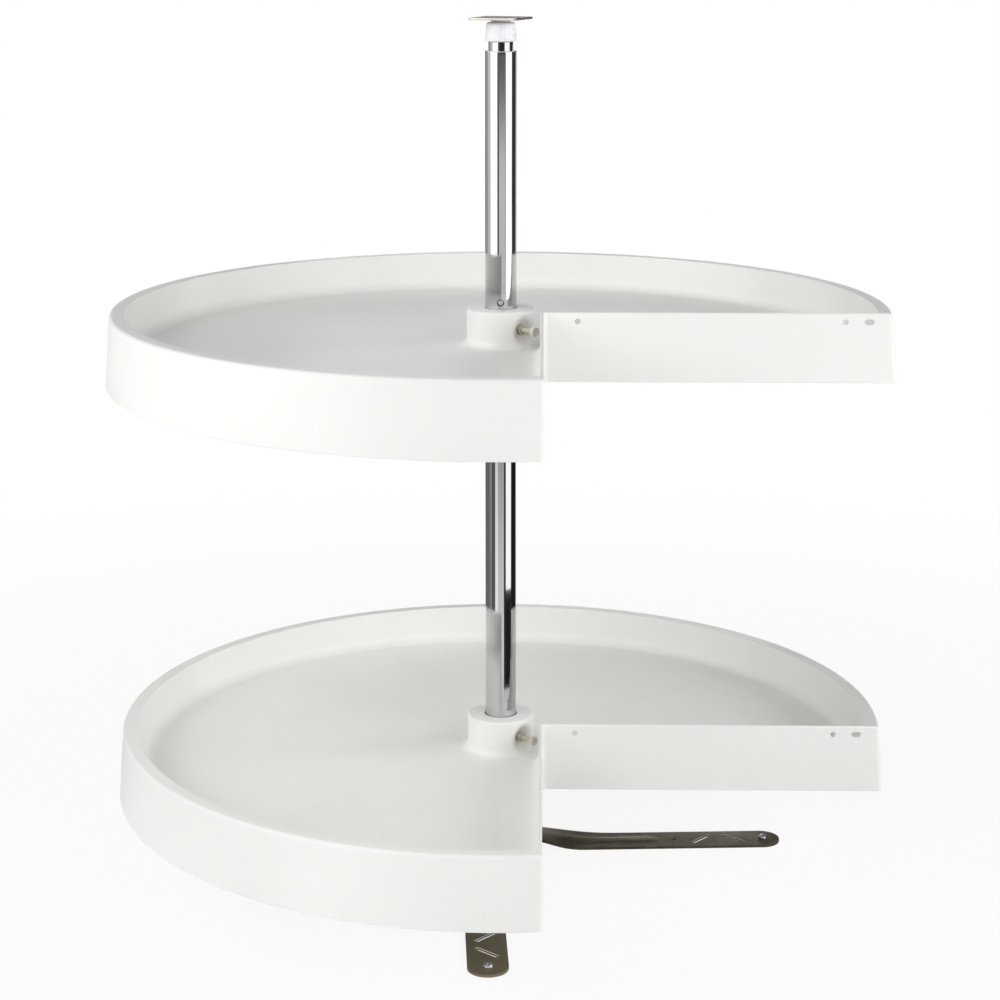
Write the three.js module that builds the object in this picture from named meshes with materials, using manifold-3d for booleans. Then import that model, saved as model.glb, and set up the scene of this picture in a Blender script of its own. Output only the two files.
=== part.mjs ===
// Corner carousel: two trays, each with a quarter cut out, on a turning telescopic post.
// Millimetres, +Z up. The origin is on the post's axis, where it meets the cabinet's floor.
// The cut-out quarter of the trays faces +X and -Y.
import * as THREE from 'three';
import { mergeVertices } from 'three/addons/utils/BufferGeometryUtils.js';
import Module from 'manifold-3d';

const wasm = await Module();
wasm.setup();

// ---- Driving dimensions ----
const overallHeight = 773; // cabinet floor to the top plate's upper face
const seatGap = 0.3; // between pieces that touch or run on each other
const traySides = 64; // sides of a whole tray
const roundSides = 32; // of hubs and tubes
const smallSides = 12; // of screws and holes

// Trays. Depths and heights in a tray are measured down from its rim's top.
const lowerRimHeight = 140; // above the cabinet's floor
const traySpacing = 379.5;
const trayRadius = 350; // at the skirt's foot
const skirtLean = 4.7; // the rim is this much smaller than the foot
const trayHeight = 62.4;
const shellWall = 3;
const rimWidth = 13;
const rimRound = 3.5;
const floorDepth = 35;
const innerWallLean = 5;
const floorFillet = 11;
const notchOffset = 38.5; // outer face of each notch wall, from the axis
const ribCount = 11;
const ribThickness = 2.5;
const ribDepth = 14;

// Hub of each tray
const hubRadius = 30.5;
const hubTopDepth = 2;
const hubRound = 2.5;
const hubFlare = 8.5;
const hubWall = 3.5;
const hubBoreClearance = 0.7;
const hubBoreChamfer = 1.2;
const hubFootDepth = 55;
const scoopRadius = 14;
const scoopReach = 38; // the scoop's centre, from the axis
const trayScrewDepth = 19;
const trayScrewHeadReach = 41; // underside of the screw's head, from the axis

// Door fixing holes in the notch walls
const doorHoleRadius = 2.5;
const doorHoleDepth = 8;
const doorHoleInner = 68; // from the axis, along the wall
const doorHoleOuter = 302.3;
const doorSlotPlace = 323.2;
const doorSlotLength = 8.7;

// Post
const tubeRadius = 14;
const tubeWall = 1.5;
const innerTubeRadius = 11;
const innerTubeWall = 1.2;
const innerTubeLength = 350;
const innerTubeShown = 8.5; // between the outer tube's end and the bush
const outerGuideLength = 20;
const innerGuideLength = 12;
const lockScrewAboveRim = 4;
const lockScrewRadius = 2.2;
const lockScrewProud = 0.5;

// Bush, washer, pin and plate at the top
const bushRadius = 13.75;
const bushTopRadius = 12.7;
const bushHeight = 16.5;
const bushChamferWidth = 3.4;
const bushChamferHeight = 2.5;
const bushSpigotLength = 18;
const topPinRadius = 4;
const topPinLength = 17;
const topWasherRadius = 8.5;
const washerThickness = 1.4;
const plateSide = 44;
const plateThickness = 2;
const plateCorner = 2;
const plateHoleSpacing = 32;
const plateHoleRadius = 2.2;
const plateTurn = -19.6; // degrees about the post

// Base bracket
const stripThickness = 2.5;
const legWidth = 35;
const legReach = 265; // leg tip, from the axis
const legSetBack = 20; // leg's middle line, from the axis, away from the cut-out quarter
const cornerRound = 12;
const bracketTurn = 3.2; // degrees about the post
const padRadius = 37;
const padRise = 9;
const rampFootNear = 66; // foot of the ramp, along the leg's edge next to the cut-out quarter
const rampFootFar = 102; // the same, along the leg's other edge
const beadWidth = 16;
const beadEnd = 150;
const beadHeight = 1.2;
const beadEdge = 2;
const slotNear = 190.5; // middle of each slot, from the axis
const slotFar = 221.5;
const slotLength = 27;
const slotWidth = 4.5;
const markHolePlace = 165.5;
const markHoleRadius = 1.5;
const baseScrewInset = 15; // from the leg's tip
const baseScrewRadius = 2;
const baseScrewHeadRadius = 4.2;
const baseScrewHeadHeight = 2.6;
const baseScrewLength = 16;

// Spindle and bearing at the bottom of the post
const spindleRadius = 5;
const spindleHeadRadius = 8.5;
const spindleHeadHeight = 2.6;
const spindleHeight = 34; // above the bracket's pad
const baseWasherRadius = 13;
const bearingFlange = 3;
const bearingLength = 36;

// Tray screws and nuts
const trayScrewRadius = 2.5;
const hexRadius = 4.6; // over the corners
const hexHeadHeight = 3.5;
const nutThickness = 4;

// ---- Places worked out from them ----
const upperRimHeight = lowerRimHeight + traySpacing;
const rimRadius = trayRadius - skirtLean;
const innerRimRadius = rimRadius - rimWidth;
const floorEdgeRadius = innerRimRadius - innerWallLean;
const floorUnderside = floorDepth + shellWall;
const boreRadius = tubeRadius + hubBoreClearance;
const sleeveRadius = boreRadius + hubWall;
const tubeBore = tubeRadius - tubeWall;
const innerTubeBore = innerTubeRadius - innerTubeWall;
const scoopFloor = scoopReach - scoopRadius;

const screwReach = legReach - baseScrewInset;
const padTop = stripThickness + padRise;
const bearingFoot = padTop + washerThickness + 2 * seatGap;
const tubeFoot = bearingFoot + bearingFlange + seatGap;
const plateFoot = overallHeight - plateThickness;
const bushTop = plateFoot - washerThickness - 2 * seatGap;
const bushFoot = bushTop - bushHeight;
const tubeTop = bushFoot - innerTubeShown;
const innerTubeTop = bushFoot - seatGap;
const innerTubeFoot = innerTubeTop - innerTubeLength;

const notchAzimuth = -Math.PI / 4; // the middle of the cut-out quarter

// ---- Materials ----
const finish = (color, roughness, metalness) =>
  new THREE.MeshStandardMaterial({ color, roughness, metalness });
const materials = {
  trayPlastic: finish(0xf0f0ec, 0.42, 0),
  bushPlastic: finish(0xf4f5f8, 0.35, 0),
  guidePlastic: finish(0xe4e4de, 0.5, 0),
  bearingPlastic: finish(0xd8d8d2, 0.45, 0),
  chrome: finish(0xe6e8ea, 0.06, 1),
  nickelledSteel: finish(0x6a6256, 0.38, 1),
  screwSteel: finish(0xb9bcc0, 0.25, 1),
};

// ---- Tools for closed solids ----
function signedVolume(geometry) {
  const [p, index] = [geometry.attributes.position, geometry.index.array];
  const corners = [new THREE.Vector3(), new THREE.Vector3(), new THREE.Vector3()];
  let volume = 0;
  for (let i = 0; i < index.length; i += 3) {
    corners.forEach((corner, k) => corner.fromBufferAttribute(p, index[i + k]));
    volume += corners[0].dot(corners[1].cross(corners[2])) / 6;
  }
  return volume;
}

function solid(geometry) {
  const bare = geometry.clone();
  bare.deleteAttribute('normal');
  bare.deleteAttribute('uv');
  const merged = mergeVertices(bare, 1e-4);
  const index = Uint32Array.from(merged.index.array);
  if (signedVolume(merged) < 0) index.reverse();
  return new wasm.Manifold(
    new wasm.Mesh({ numProp: 3, vertProperties: merged.attributes.position.array, triVerts: index }),
  );
}

function geometryOf(body) {
  const mesh = body.getMesh();
  const geometry = new THREE.BufferGeometry();
  geometry.setAttribute('position', new THREE.BufferAttribute(mesh.vertProperties, 3));
  geometry.setIndex(new THREE.BufferAttribute(mesh.triVerts, 1));
  geometry.computeVertexNormals();
  return geometry;
}

// Corners are [x, y] or [x, y, radius]; a radius turns its corner into an arc.
function outline(corners, steps = 4) {
  const points = [];
  corners.forEach(([x, y, radius = 0], i) => {
    const here = new THREE.Vector2(x, y);
    if (!radius) {
      points.push(here);
      return;
    }
    const last = corners.length;
    const toward = ([cx, cy]) => new THREE.Vector2(cx, cy).sub(here).normalize();
    const before = toward(corners[(i + last - 1) % last]);
    const after = toward(corners[(i + 1) % last]);
    const half = Math.acos(before.dot(after)) / 2;
    const middle = before.clone().add(after).normalize().multiplyScalar(radius / Math.sin(half)).add(here);
    const start = before.multiplyScalar(radius / Math.tan(half)).add(here).sub(middle);
    const turn = after.multiplyScalar(radius / Math.tan(half)).add(here).sub(middle).angle() - start.angle();
    const shortTurn = Math.atan2(Math.sin(turn), Math.cos(turn));
    for (let k = 0; k <= steps; k += 1) {
      points.push(start.clone().rotateAround(new THREE.Vector2(), (shortTurn * k) / steps).add(middle));
    }
  });
  return points;
}

// Turns a closed [radius, height] section about Z.
function revolve(corners, sides = roundSides, steps = 4) {
  const points = outline(corners, steps);
  points.push(points[0].clone());
  return solid(new THREE.LatheGeometry(points, sides).rotateX(Math.PI / 2));
}

function extrude(shape, bottom, top, curveSegments = 8) {
  const options = { depth: top - bottom, bevelEnabled: false, curveSegments };
  return solid(new THREE.ExtrudeGeometry(shape, options).translate(0, 0, bottom));
}

function box(low, high) {
  const size = high.map((value, i) => value - low[i]);
  const middle = high.map((value, i) => (value + low[i]) / 2);
  return solid(new THREE.BoxGeometry(...size).translate(...middle));
}

const rod = (radius, bottom, top, sides = roundSides) =>
  solid(
    new THREE.CylinderGeometry(radius, radius, top - bottom, sides)
      .rotateX(Math.PI / 2)
      .translate(0, 0, (top + bottom) / 2),
  );

const ring = (inner, outer, bottom, top, sides = roundSides) =>
  revolve([[inner, bottom], [outer, bottom], [outer, top], [inner, top]], sides);

// Lays a solid that was made along +Z so that it points out from the post at an azimuth.
function radially(body, azimuth, height) {
  const turn = new THREE.Matrix4()
    .makeTranslation(0, 0, height)
    .multiply(new THREE.Matrix4().makeRotationZ(azimuth))
    .multiply(new THREE.Matrix4().makeRotationY(Math.PI / 2));
  return body.transform(turn.elements);
}

// Swaps what lies along +X with what lies along -Y.
const otherSide = (body) => body.mirror([1, 1, 0]);

const union = (bodies) => bodies.reduce((sum, body) => sum.add(body));

// ---- Scene graph ----
const carousel = new THREE.Group();

function addPiece(name, body, material, parent = carousel) {
  const mesh = new THREE.Mesh(geometryOf(body), material);
  mesh.name = name;
  parent.add(mesh);
  return mesh;
}

// ---- Tray, with its rim's top at z = 0 ----
function trayShell() {
  const wall = shellWall;
  const inHub = hubRadius - hubWall / 2;
  return revolve([
    [inHub, -floorDepth],
    [floorEdgeRadius, -floorDepth, floorFillet],
    [innerRimRadius, 0],
    [rimRadius, 0, rimRound],
    [trayRadius, -trayHeight],
    [trayRadius - wall, -trayHeight],
    [rimRadius - wall, -wall],
    [innerRimRadius + wall, -wall],
    [floorEdgeRadius + wall, -floorUnderside, floorFillet + wall],
    [inHub, -floorUnderside],
  ], traySides, 3);
}

function trayEnvelope() {
  const corners = [[0, 0], [rimRadius, 0, rimRound], [trayRadius, -trayHeight], [0, -trayHeight]];
  return revolve(corners, traySides, 3);
}

function hubSolid() {
  const foot = hubRadius + hubFlare + 1;
  return revolve([
    [foot, -floorUnderside],
    [foot, -floorDepth],
    [hubRadius, -floorDepth, hubFlare],
    [hubRadius, -hubTopDepth, hubRound],
    [boreRadius + hubBoreChamfer, -hubTopDepth],
    [boreRadius, -hubTopDepth - hubBoreChamfer],
    [boreRadius, -hubFootDepth],
    [sleeveRadius, -hubFootDepth],
    [sleeveRadius, -floorUnderside],
  ], roundSides);
}

// The hub is hollow beneath, but for a block that holds the tray screw.
function hubHollow() {
  const hollow = ring(sleeveRadius, hubRadius - hubWall, -hubFootDepth, -hubTopDepth - hubWall, roundSides);
  const block = box([0, -scoopRadius - hubWall, -hubFootDepth], [trayRadius, scoopRadius + hubWall, 0]);
  return hollow.subtract(block.rotate([0, 0, THREE.MathUtils.radToDeg(notchAzimuth)]));
}

function hubScoop() {
  const ball = solid(new THREE.SphereGeometry(scoopRadius, 16, 10));
  const reach = new THREE.Vector2(scoopReach, 0).rotateAround(new THREE.Vector2(), notchAzimuth);
  return ball.translate([reach.x, reach.y, -trayScrewDepth]);
}

function trayRibs() {
  const half = ribThickness / 2;
  const rib = box(
    [sleeveRadius - hubWall / 2, -half, -floorUnderside - ribDepth],
    [trayRadius - skirtLean / 2, half, -floorUnderside + shellWall / 2],
  );
  const pitch = 270 / (ribCount + 1);
  return Array.from({ length: ribCount }, (_, i) => rib.rotate([0, 0, pitch * (i + 1)]));
}

// The wall along +X; its holes are cut square to it.
function notchWall() {
  const inner = notchOffset - shellWall;
  const wall = box([inner, -notchOffset, -trayHeight], [trayRadius, -inner, 0]);
  const half = doorSlotLength / 2 - doorHoleRadius;
  const holes = [doorHoleInner, doorHoleOuter, doorSlotPlace - half, doorSlotPlace + half];
  const cutters = holes.map((place) =>
    rod(doorHoleRadius, inner - 1, notchOffset + 1, smallSides)
      .rotate([90, 0, 0])
      .translate([place, 0, -doorHoleDepth]),
  );
  const bridge = box(
    [doorSlotPlace - half, -notchOffset - 1, -doorHoleDepth - doorHoleRadius],
    [doorSlotPlace + half, -inner + 1, -doorHoleDepth + doorHoleRadius],
  );
  return wall.subtract(union([...cutters, bridge]));
}

function trayBody() {
  const cut = notchOffset - shellWall / 2;
  const quarter = box([cut, -2 * trayRadius, -2 * trayHeight], [2 * trayRadius, -cut, trayHeight]);
  const wallAlongX = notchWall().intersect(trayEnvelope());
  const wallAlongY = otherSide(wallAlongX);
  const moulding = trayShell().add(hubSolid()).subtract(hubHollow()).subtract(hubScoop());
  const screwHole = rod(trayScrewRadius + seatGap, 0, scoopReach, smallSides);
  const nutSeat = rod(hexRadius + seatGap, scoopFloor, scoopReach, smallSides);
  return union([moulding.subtract(quarter), ...trayRibs(), wallAlongX, wallAlongY]).subtract(
    radially(screwHole.add(nutSeat), notchAzimuth, -trayScrewDepth),
  );
}

// ---- Tray screw: a hexagon-headed screw through a nut in the scoop, its tip in the post's wall ----
function trayScrewBody() {
  const shank = rod(trayScrewRadius, tubeBore + seatGap, trayScrewHeadReach + 0.5, smallSides);
  const head = rod(hexRadius, trayScrewHeadReach, trayScrewHeadReach + hexHeadHeight, 6);
  return shank.add(head);
}

function trayNutBody() {
  const foot = scoopFloor + seatGap;
  return rod(hexRadius, foot, foot + nutThickness, 6).subtract(
    rod(trayScrewRadius + seatGap, foot - 1, foot + nutThickness + 1, smallSides),
  );
}

function addTray(level, rimHeight, tray) {
  addPiece(`${level}_tray`, tray, materials.trayPlastic).position.z = rimHeight;
  const screwHeight = rimHeight - trayScrewDepth;
  const screw = radially(trayScrewBody(), notchAzimuth, screwHeight);
  const nut = radially(trayNutBody(), notchAzimuth, screwHeight);
  addPiece(`${level}_tray_screw`, screw, materials.screwSteel);
  addPiece(`${level}_tray_nut`, nut, materials.screwSteel);
}

const tray = trayBody();
addTray('lower', lowerRimHeight, tray);
addTray('upper', upperRimHeight, tray);

// ---- Post ----
const lockScrewHeight = upperRimHeight + lockScrewAboveRim;
const towardFront = -Math.PI / 2;

function outerTubeBody() {
  const hole = (radius, azimuth, height) =>
    radially(rod(radius + seatGap, 0, 2 * tubeRadius, smallSides), azimuth, height);
  const screwHoles = [lowerRimHeight, upperRimHeight].map((rimHeight) =>
    hole(trayScrewRadius, notchAzimuth, rimHeight - trayScrewDepth),
  );
  const lockHole = hole(lockScrewRadius, towardFront, lockScrewHeight);
  return ring(tubeBore, tubeRadius, tubeFoot, tubeTop).subtract(union([...screwHoles, lockHole]));
}

function lockScrewBody() {
  const screw = rod(lockScrewRadius, innerTubeRadius + seatGap, tubeRadius + lockScrewProud, smallSides);
  const socket = rod(lockScrewRadius / 2, tubeRadius - 1, tubeRadius + 1, 6);
  return radially(screw.subtract(socket), towardFront, lockScrewHeight);
}

const guideInner = innerTubeRadius + seatGap;
const guideOuter = tubeBore - seatGap;

addPiece('outer_tube', outerTubeBody(), materials.chrome);
addPiece('height_lock_screw', lockScrewBody(), materials.screwSteel);
addPiece(
  'outer_tube_guide',
  ring(guideInner, guideOuter, tubeTop - outerGuideLength, tubeTop),
  materials.guidePlastic,
);

// ---- Bearing in the post's foot ----
function bottomBearingBody() {
  const bore = spindleRadius + seatGap;
  return revolve([
    [bore, bearingFoot],
    [tubeRadius, bearingFoot],
    [tubeRadius, bearingFoot + bearingFlange],
    [guideOuter, bearingFoot + bearingFlange],
    [guideOuter, bearingFoot + bearingLength],
    [bore, bearingFoot + bearingLength],
  ]);
}

addPiece('bottom_bearing', bottomBearingBody(), materials.bearingPlastic);

// ---- Telescopic inner tube with its bush ----
function topBushBody() {
  const bore = topPinRadius + seatGap;
  const spigot = innerTubeBore - seatGap;
  return revolve([
    [bore, bushFoot - bushSpigotLength],
    [spigot, bushFoot - bushSpigotLength],
    [spigot, bushFoot],
    [bushRadius, bushFoot],
    [bushTopRadius, bushTop - bushChamferHeight],
    [bushTopRadius - bushChamferWidth, bushTop],
    [bore, bushTop],
  ]);
}

addPiece('inner_tube', ring(innerTubeBore, innerTubeRadius, innerTubeFoot, innerTubeTop), materials.chrome);
addPiece(
  'inner_tube_guide',
  ring(guideInner, guideOuter, innerTubeFoot, innerTubeFoot + innerGuideLength),
  materials.guidePlastic,
);
addPiece('top_bush', topBushBody(), materials.bushPlastic);

// ---- Top plate, pin and washer ----
function topPlateBody() {
  const half = plateSide / 2;
  const square = [[-half, -half], [half, -half], [half, half], [-half, half]];
  const shape = new THREE.Shape(outline(square.map(([x, y]) => [x, y, plateCorner]), 3));
  const place = plateHoleSpacing / 2;
  const holes = [[-place, -place], [place, -place], [place, place], [-place, place]].map(([x, y]) =>
    rod(plateHoleRadius, plateFoot - 1, overallHeight + 1, smallSides).translate([x, y, 0]),
  );
  const pinHole = rod(topPinRadius + seatGap, plateFoot - 1, overallHeight + 1);
  return extrude(shape, plateFoot, overallHeight).subtract(union([...holes, pinHole]));
}

const topMount = new THREE.Group();
topMount.rotation.z = THREE.MathUtils.degToRad(plateTurn);
carousel.add(topMount);
addPiece('top_plate', topPlateBody(), materials.nickelledSteel, topMount);
addPiece(
  'top_pivot_pin',
  rod(topPinRadius, overallHeight - topPinLength, overallHeight),
  materials.screwSteel,
  topMount,
);
addPiece(
  'top_thrust_washer',
  ring(topPinRadius + seatGap, topWasherRadius, bushTop + seatGap, plateFoot - seatGap),
  materials.guidePlastic,
  topMount,
);

// ---- Base bracket: an L of steel strip with a raised pad, its legs along +X and -Y ----
const smooth = (value) => THREE.MathUtils.smoothstep(value, 0, 1);

// Height of the pressed strip over its flat legs, at a point of its plan.
function pressedRise(x, y) {
  const [along, across] = x > -y ? [x, y - legSetBack] : [-y, -x - legSetBack];
  const share = THREE.MathUtils.clamp(across / legWidth + 0.5, 0, 1);
  const rampFoot = THREE.MathUtils.lerp(rampFootNear, rampFootFar, share);
  const distance = Math.hypot(x, y);
  const ramp = smooth((rampFoot - distance) / (rampFoot - padRadius));
  const side = THREE.MathUtils.clamp((beadWidth / 2 - Math.abs(across)) / beadEdge, 0, 1);
  const end = THREE.MathUtils.clamp((beadEnd - along) / beadEdge, 0, 1);
  return padRise * ramp + beadHeight * side * end * (1 - ramp);
}

// Lines where the pressed shape bends, over the length of one leg.
function gridLines() {
  const sides = [-legWidth / 2 - 2, -beadWidth / 2, -beadWidth / 2 + beadEdge];
  const acrossLeg = [...sides, ...sides.map((value) => -value)].map((value) => value - legSetBack);
  const rampSteps = 9;
  const onRamp = Array.from({ length: rampSteps + 1 }, (_, i) =>
    THREE.MathUtils.lerp(legSetBack / 2, rampFootFar + 4, i / rampSteps),
  );
  const places = [-padRadius - 1, ...acrossLeg, ...onRamp, beadEnd - beadEdge, beadEnd, legReach + 2];
  return [...new Set(places)].sort((a, b) => a - b);
}

// A sheet over the whole L, thick as the strip and raised where the strip is pressed.
function pressedSheet() {
  const xs = gridLines();
  const ys = xs.map((value) => -value).reverse();
  const size = xs.length;
  const positions = [];
  [0, stripThickness].forEach((level) =>
    ys.forEach((y) => xs.forEach((x) => positions.push(x, y, level + pressedRise(x, y)))),
  );
  const at = (level, row, column) => (level * size + row) * size + column;
  const index = [];
  const quad = (a, b, c, d) => index.push(a, b, c, a, c, d);
  for (let row = 0; row < size - 1; row += 1) {
    for (let column = 0; column < size - 1; column += 1) {
      const cell = (level) => [
        at(level, row, column),
        at(level, row, column + 1),
        at(level, row + 1, column + 1),
        at(level, row + 1, column),
      ];
      quad(...cell(1));
      quad(...cell(0).reverse());
    }
  }
  const edge = (from, to) => quad(at(0, ...from), at(0, ...to), at(1, ...to), at(1, ...from));
  const last = size - 1;
  for (let k = 0; k < last; k += 1) {
    edge([0, k], [0, k + 1]);
    edge([last, k + 1], [last, k]);
    edge([k + 1, 0], [k, 0]);
    edge([k, last], [k + 1, last]);
  }
  const geometry = new THREE.BufferGeometry();
  geometry.setAttribute('position', new THREE.Float32BufferAttribute(positions, 3));
  geometry.setIndex(index);
  return solid(geometry);
}

const overSheet = padRise + 2 * stripThickness;

// Plan of the leg along +X, from the L's outer corner to its round tip.
function legPlan() {
  const [near, far] = [legSetBack - legWidth / 2, legSetBack + legWidth / 2];
  const shape = new THREE.Shape();
  shape.moveTo(-far, near);
  shape.lineTo(legReach - legWidth / 2, near);
  shape.absarc(legReach - legWidth / 2, legSetBack, legWidth / 2, -Math.PI / 2, Math.PI / 2, false);
  shape.lineTo(-far + cornerRound, far);
  shape.absarc(-far + cornerRound, far - cornerRound, cornerRound, Math.PI / 2, Math.PI, false);
  return shape;
}

// Cutters for one leg: slanting slots, a small marking hole and the screw's hole.
function legCutters() {
  const straight = slotLength / 2 - slotWidth / 2;
  const slot = union([
    box([-straight, -slotWidth / 2, -1], [straight, slotWidth / 2, overSheet]),
    rod(slotWidth / 2, -1, overSheet, smallSides).translate([straight, 0, 0]),
    rod(slotWidth / 2, -1, overSheet, smallSides).translate([-straight, 0, 0]),
  ]);
  const hole = (radius, place) => rod(radius, -1, overSheet, smallSides).translate([place, legSetBack, 0]);
  return union([
    slot.rotate([0, 0, 45]).translate([slotNear, legSetBack, 0]),
    slot.rotate([0, 0, -45]).translate([slotFar, legSetBack, 0]),
    hole(markHoleRadius, markHolePlace),
    hole(baseScrewRadius + 2 * seatGap, screwReach),
  ]);
}

function baseBracketBody() {
  const leg = extrude(legPlan(), -1, overSheet).subtract(legCutters());
  const pad = rod(padRadius, -1, overSheet);
  const plan = union([leg, otherSide(leg), pad]);
  const spindleHole = rod(spindleRadius + seatGap, -1, overSheet);
  return plan.intersect(pressedSheet()).subtract(spindleHole);
}

function pivotSpindleBody() {
  const headTop = padRise - seatGap;
  return revolve([
    [0, headTop - spindleHeadHeight],
    [spindleHeadRadius - 1, headTop - spindleHeadHeight],
    [spindleHeadRadius, headTop - spindleHeadHeight + 1],
    [spindleHeadRadius, headTop],
    [spindleRadius, headTop],
    [spindleRadius, padTop + spindleHeight - 1],
    [spindleRadius - 1, padTop + spindleHeight],
    [0, padTop + spindleHeight],
  ]);
}

// Cross-recessed pan-head screw, its head's underside at z = 0.
function baseScrewBody() {
  const head = revolve([
    [0, 0],
    [baseScrewHeadRadius, 0],
    [baseScrewHeadRadius, baseScrewHeadHeight / 2],
    [baseScrewHeadRadius * 0.72, baseScrewHeadHeight * 0.9],
    [0, baseScrewHeadHeight],
  ], 16);
  const tip = baseScrewRadius * 1.5;
  const shank = revolve([
    [0, 1],
    [0, -baseScrewLength],
    [baseScrewRadius, tip - baseScrewLength],
    [baseScrewRadius, 1],
  ], smallSides);
  const arm = [baseScrewHeadRadius * 0.55, 0.5];
  const recess = box([-arm[0], -arm[1], 1.2], [arm[0], arm[1], baseScrewHeadHeight + 1]);
  return head.add(shank).subtract(recess.add(recess.rotate([0, 0, 90])));
}

const base = new THREE.Group();
base.rotation.z = THREE.MathUtils.degToRad(bracketTurn);
carousel.add(base);
addPiece('base_bracket', baseBracketBody(), materials.nickelledSteel, base);
addPiece('pivot_spindle', pivotSpindleBody(), materials.screwSteel, base);
addPiece(
  'base_thrust_washer',
  ring(spindleRadius + seatGap, baseWasherRadius, padTop + seatGap, bearingFoot - seatGap),
  materials.guidePlastic,
  base,
);

const baseScrews = {
  base_screw_right: [screwReach, legSetBack],
  base_screw_front: [-legSetBack, -screwReach],
};
Object.entries(baseScrews).forEach(([name, [x, y]]) => {
  addPiece(name, baseScrewBody(), materials.screwSteel, base).position.set(x, y, stripThickness + seatGap);
});

export default carousel;
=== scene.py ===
import math
from contextlib import contextmanager

import bmesh
import bpy
from mathutils import Matrix, Vector


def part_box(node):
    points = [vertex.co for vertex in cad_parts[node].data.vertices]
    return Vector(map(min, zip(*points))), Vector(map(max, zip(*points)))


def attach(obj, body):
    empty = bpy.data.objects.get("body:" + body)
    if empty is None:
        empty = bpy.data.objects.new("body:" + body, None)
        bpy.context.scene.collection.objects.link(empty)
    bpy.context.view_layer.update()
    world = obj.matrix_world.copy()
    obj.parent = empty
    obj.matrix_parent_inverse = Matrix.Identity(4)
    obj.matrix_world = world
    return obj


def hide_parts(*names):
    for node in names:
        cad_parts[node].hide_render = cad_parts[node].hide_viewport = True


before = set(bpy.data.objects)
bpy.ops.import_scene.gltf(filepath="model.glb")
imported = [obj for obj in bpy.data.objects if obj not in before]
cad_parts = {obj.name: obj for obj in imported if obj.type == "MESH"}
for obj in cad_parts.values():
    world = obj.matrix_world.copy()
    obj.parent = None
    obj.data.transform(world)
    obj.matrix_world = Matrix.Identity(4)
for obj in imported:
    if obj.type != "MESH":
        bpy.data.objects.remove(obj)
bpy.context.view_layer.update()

milli = 0.001  # sizes below are in millimetres, Blender's are in metres
print("frame loaded:", len(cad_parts), "nodes")


# Selecting and editing

def deselectAll():
    if bpy.context.object and bpy.context.object.mode != "OBJECT":
        bpy.ops.object.mode_set(mode="OBJECT")
    bpy.ops.object.select_all(action="DESELECT")


def activate(*pieces):
    deselectAll()
    for piece in pieces:
        piece.select_set(True)
    bpy.context.view_layer.objects.active = pieces[0]


@contextmanager
def editing(piece, start="DESELECT"):
    activate(piece)
    bpy.ops.object.mode_set(mode="EDIT")
    bpy.ops.mesh.select_mode(type="VERT")
    bpy.ops.mesh.select_all(action=start)
    yield
    bpy.ops.object.mode_set(mode="OBJECT")


def pick(piece, wanted, kind="verts"):
    # selects the vertices, edges or faces that wanted() says, in edit mode
    body = bmesh.from_edit_mesh(piece.data)
    bpy.ops.mesh.select_mode(type=kind[:-1].upper())
    for part in getattr(body, kind):
        part.select_set(bool(wanted(part)))
    body.select_flush_mode()
    bmesh.update_edit_mesh(piece.data)


def fillRing(piece, wanted):
    with editing(piece):
        pick(piece, wanted)
        bpy.ops.mesh.edge_face_add()


def applyPlace(piece):
    activate(piece)
    bpy.ops.object.transform_apply(location=True, rotation=True, scale=True)


def addModifier(piece, kind, **settings):
    activate(piece)
    bpy.ops.object.modifier_add(type=kind)
    modifier = piece.modifiers[-1]
    for name, value in settings.items():
        setattr(modifier, name, value)
    bpy.ops.object.modifier_apply(modifier=modifier.name)


def tidyMesh(piece):
    with editing(piece, "SELECT"):
        bpy.ops.mesh.remove_doubles(threshold=1e-6)
        bpy.ops.mesh.normals_make_consistent(inside=False)


def combine(piece, tool, how):
    addModifier(piece, "BOOLEAN", operation=how, object=tool, solver="MANIFOLD")
    bpy.data.objects.remove(tool)


def cut(piece, tool):
    combine(piece, tool, "DIFFERENCE")


def turnTo(piece, degrees):
    piece.rotation_euler.z = math.radians(degrees)
    applyPlace(piece)


def moveTo(piece, x, y, z):
    piece.location = Vector((x, y, z)) * milli
    applyPlace(piece)


def added(name):
    # what the last operator made
    bpy.context.object.name = name
    return bpy.context.object


def copyOf(piece, name):
    activate(piece)
    bpy.ops.object.duplicate(linked=False)
    return added(name)


def otherSide(piece, name):
    # a copy for the other notch wall, or for the bracket's other leg
    other = copyOf(piece, name)
    for vertex in other.data.vertices:
        vertex.co.xy = (-vertex.co.y, -vertex.co.x)
    tidyMesh(other)
    return other


# Drawing outlines

square = ((-1, -1), (1, -1), (1, 1), (-1, 1))


def hexagonCorners(radius):
    turns = [math.radians(60 * k) for k in range(6)]
    return [(radius * math.cos(turn), radius * math.sin(turn)) for turn in turns]


def roundedPath(corners, closed=True):
    # corners are (x, y) or (x, y, radius, steps); a radius turns the corner into an arc
    points = []
    count = len(corners)
    for i, corner in enumerate(corners):
        here = Vector(corner[:2])
        if len(corner) == 2 or (not closed and i in (0, count - 1)):
            points.append(here)
            continue
        radius, steps = corner[2:]
        before = (Vector(corners[i - 1][:2]) - here).normalized()
        after = (Vector(corners[(i + 1) % count][:2]) - here).normalized()
        half = before.angle(after) / 2
        middle = here + (before + after).normalized() * radius / math.sin(half)
        start = here + before * radius / math.tan(half) - middle
        turn = math.pi - 2 * half
        if before.x * after.y - before.y * after.x > 0:
            turn = -turn
        for k in range(steps + 1):
            points.append(middle + Matrix.Rotation(turn * k / steps, 2) @ start)
    return points


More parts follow.
